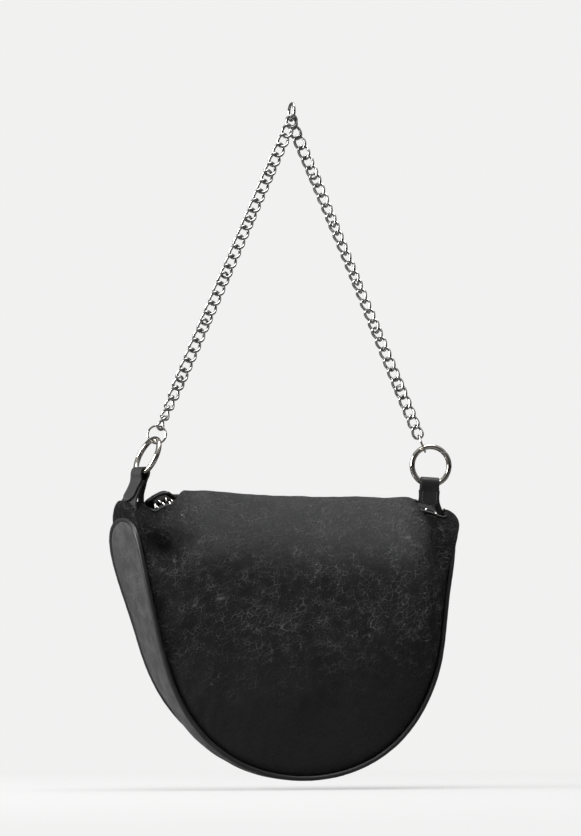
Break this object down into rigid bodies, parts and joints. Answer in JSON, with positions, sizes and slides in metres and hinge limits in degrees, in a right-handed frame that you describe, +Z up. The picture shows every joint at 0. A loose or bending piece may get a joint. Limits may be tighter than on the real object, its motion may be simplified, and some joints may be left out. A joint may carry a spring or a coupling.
{
  "type": "shoulder bag with chain strap",
  "caption": "Small zipped leather shoulder bag with a rounded piped body, folded side tabs, spring-gate rings and a curb-chain shoulder strap.",
  "frame": {"origin": "the point where a hook carries the strap, under the top bar of the top link", "axes": "+Z up along the hang, +X from the bag's left end to its right end, +Y from its front panel to its back panel"},
  "size_m": [0.2583, 0.0746, 0.5106],
  "materials": {
    "leather": "black crinkled leather, satin",
    "piping_leather": "black smooth leather cord, satin",
    "lining_cloth": "dark woven lining, matt",
    "zip_tape": "black woven tape, matt",
    "zip_metal": "bright nickel plating, polished",
    "ring_metal": "bright nickel plating, polished",
    "chain_metal": "bright silver-toned plating, polished"
  },
  "bodies": {
    "top_link": {"apex_link": "chain_metal"},
    "chain_run_left_1": {"chain_left_1": "chain_metal"},
    "chain_run_left_2": {"chain_left_2": "chain_metal"},
    "chain_run_left_3": {"chain_left_3": "chain_metal"},
    "chain_run_left_4": {"chain_left_4": "chain_metal"},
    "chain_run_left_5": {"chain_left_5": "chain_metal"},
    "chain_run_left_6": {"chain_left_6": "chain_metal"},
    "jump_ring_left_body": {"jump_ring_left": "ring_metal"},
    "chain_run_right_1": {"chain_right_1": "chain_metal"},
    "chain_run_right_2": {"chain_right_2": "chain_metal"},
    "chain_run_right_3": {"chain_right_3": "chain_metal"},
    "chain_run_right_4": {"chain_right_4": "chain_metal"},
    "chain_run_right_5": {"chain_right_5": "chain_metal"},
    "chain_run_right_6": {"chain_right_6": "chain_metal"},
    "jump_ring_right_body": {"jump_ring_right": "ring_metal"},
    "bag": {"front_panel": "leather", "back_panel": "leather", "gusset": "leather", "piping": "piping_leather", "lining": "lining_cloth", "zip_tape_front": "zip_tape", "zip_tape_back": "zip_tape", "zip_teeth_front": "zip_metal", "zip_teeth_back": "zip_metal", "zip_stop_left": "zip_metal", "zip_stop_right": "zip_metal", "tab_left": "leather", "tab_right": "leather", "tab_base_left": "leather", "tab_base_right": "leather"},
    "snap_ring_left": {"ring_left": "ring_metal", "gate_pin_left": "ring_metal"},
    "snap_gate_left": {"gate_left": "ring_metal"},
    "snap_ring_right": {"ring_right": "ring_metal", "gate_pin_right": "ring_metal"},
    "snap_gate_right": {"gate_right": "ring_metal"},
    "slider": {"zip_slider": "zip_metal", "zip_slider_base": "zip_metal"},
    "puller": {"zip_puller": "zip_metal"}
  },
  "joints": [
    {"name": "chain_swing_left_1", "type": "hinge", "parent": "top_link", "child": "chain_run_left_1", "pos_m": [0, 0, -0.01005], "axis": [1, 0, 0], "range_deg": [-10, 10]},
    {"name": "chain_swing_left_2", "type": "hinge", "parent": "chain_run_left_1", "child": "chain_run_left_2", "pos_m": [-0.01809, 0, -0.05369], "axis": [1, 0, 0], "range_deg": [-12, 12]},
    {"name": "chain_swing_left_3", "type": "hinge", "parent": "chain_run_left_2", "child": "chain_run_left_3", "pos_m": [-0.03364, 0, -0.08979], "axis": [1, 0, 0], "range_deg": [-12, 12]},
    {"name": "chain_swing_left_4", "type": "hinge", "parent": "chain_run_left_3", "child": "chain_run_left_4", "pos_m": [-0.05244, 0, -0.13344], "axis": [1, 0, 0], "range_deg": [-12, 12]},
    {"name": "chain_swing_left_5", "type": "hinge", "parent": "chain_run_left_4", "child": "chain_run_left_5", "pos_m": [-0.06799, 0, -0.16954], "axis": [1, 0, 0], "range_deg": [-12, 12]},
    {"name": "chain_swing_left_6", "type": "hinge", "parent": "chain_run_left_5", "child": "chain_run_left_6", "pos_m": [-0.08679, 0, -0.21318], "axis": [1, 0, 0], "range_deg": [-12, 12]},
    {"name": "jump_ring_swing_left", "type": "hinge", "parent": "chain_run_left_6", "child": "jump_ring_left_body", "pos_m": [-0.10261, 0, -0.24991], "axis": [1, 0, 0], "range_deg": [-20, 20]},
    {"name": "chain_swing_right_1", "type": "hinge", "parent": "top_link", "child": "chain_run_right_1", "pos_m": [0, 0, -0.01005], "axis": [1, 0, 0], "range_deg": [-10, 10]},
    {"name": "chain_swing_right_2", "type": "hinge", "parent": "chain_run_right_1", "child": "chain_run_right_2", "pos_m": [0.01809, 0, -0.05369], "axis": [1, 0, 0], "range_deg": [-12, 12]},
    {"name": "chain_swing_right_3", "type": "hinge", "parent": "chain_run_right_2", "child": "chain_run_right_3", "pos_m": [0.03364, 0, -0.08979], "axis": [1, 0, 0], "range_deg": [-12, 12]},
    {"name": "chain_swing_right_4", "type": "hinge", "parent": "chain_run_right_3", "child": "chain_run_right_4", "pos_m": [0.05244, 0, -0.13344], "axis": [1, 0, 0], "range_deg": [-12, 12]},
    {"name": "chain_swing_right_5", "type": "hinge", "parent": "chain_run_right_4", "child": "chain_run_right_5", "pos_m": [0.06799, 0, -0.16954], "axis": [1, 0, 0], "range_deg": [-12, 12]},
    {"name": "chain_swing_right_6", "type": "hinge", "parent": "chain_run_right_5", "child": "chain_run_right_6", "pos_m": [0.08679, 0, -0.21318], "axis": [1, 0, 0], "range_deg": [-12, 12]},
    {"name": "jump_ring_swing_right", "type": "hinge", "parent": "chain_run_right_6", "child": "jump_ring_right_body", "pos_m": [0.10261, 0, -0.24991], "axis": [1, 0, 0], "range_deg": [-20, 20]},
    {"name": "bag_swing", "type": "hinge", "parent": "jump_ring_left_body", "child": "bag", "pos_m": [-0.10689, 0, -0.25983], "axis": [1, 0, 0], "range_deg": [-15, 15]},
    {"name": "ring_turn_left", "type": "hinge", "parent": "bag", "child": "snap_ring_left", "pos_m": [-0.112, 0, -0.2717], "axis": [-0.9019, -0.1885, 0.3885], "range_deg": [-20, 20]},
    {"name": "gate_open_left", "type": "hinge", "parent": "snap_ring_left", "child": "snap_gate_left", "pos_m": [-0.11384, -0.0108, -0.2812], "axis": [-0.9019, -0.1885, 0.3885], "range_deg": [0, 30], "stiffness_Nm_per_rad": 0.02},
    {"name": "ring_turn_right", "type": "hinge", "parent": "bag", "child": "snap_ring_right", "pos_m": [0.112, 0, -0.2717], "axis": [-0.1176, -0.9918, -0.0506], "range_deg": [-20, 20]},
    {"name": "gate_open_right", "type": "hinge", "parent": "snap_ring_right", "child": "snap_gate_right", "pos_m": [0.12575, -0.00141, -0.27607], "axis": [-0.1176, -0.9918, -0.0506], "range_deg": [0, 30], "stiffness_Nm_per_rad": 0.02},
    {"name": "slider_travel", "type": "slide", "parent": "bag", "child": "slider", "axis": [1, 0, 0], "range_m": [-0.17, 0]},
    {"name": "puller_flip", "type": "hinge", "parent": "slider", "child": "puller", "pos_m": [0.085, 0, -0.3014], "axis": [0, 1, 0], "range_deg": [0, 170]}
  ],
  "couplings": [
    {"joint": "chain_swing_right_1", "follows": "chain_swing_left_1", "ratio": 1},
    {"joint": "chain_swing_right_2", "follows": "chain_swing_left_2", "ratio": 1},
    {"joint": "chain_swing_right_3", "follows": "chain_swing_left_3", "ratio": 1},
    {"joint": "chain_swing_right_4", "follows": "chain_swing_left_4", "ratio": 1},
    {"joint": "chain_swing_right_5", "follows": "chain_swing_left_5", "ratio": 1},
    {"joint": "chain_swing_right_6", "follows": "chain_swing_left_6", "ratio": 1},
    {"joint": "jump_ring_swing_right", "follows": "jump_ring_swing_left", "ratio": 1}
  ]
}
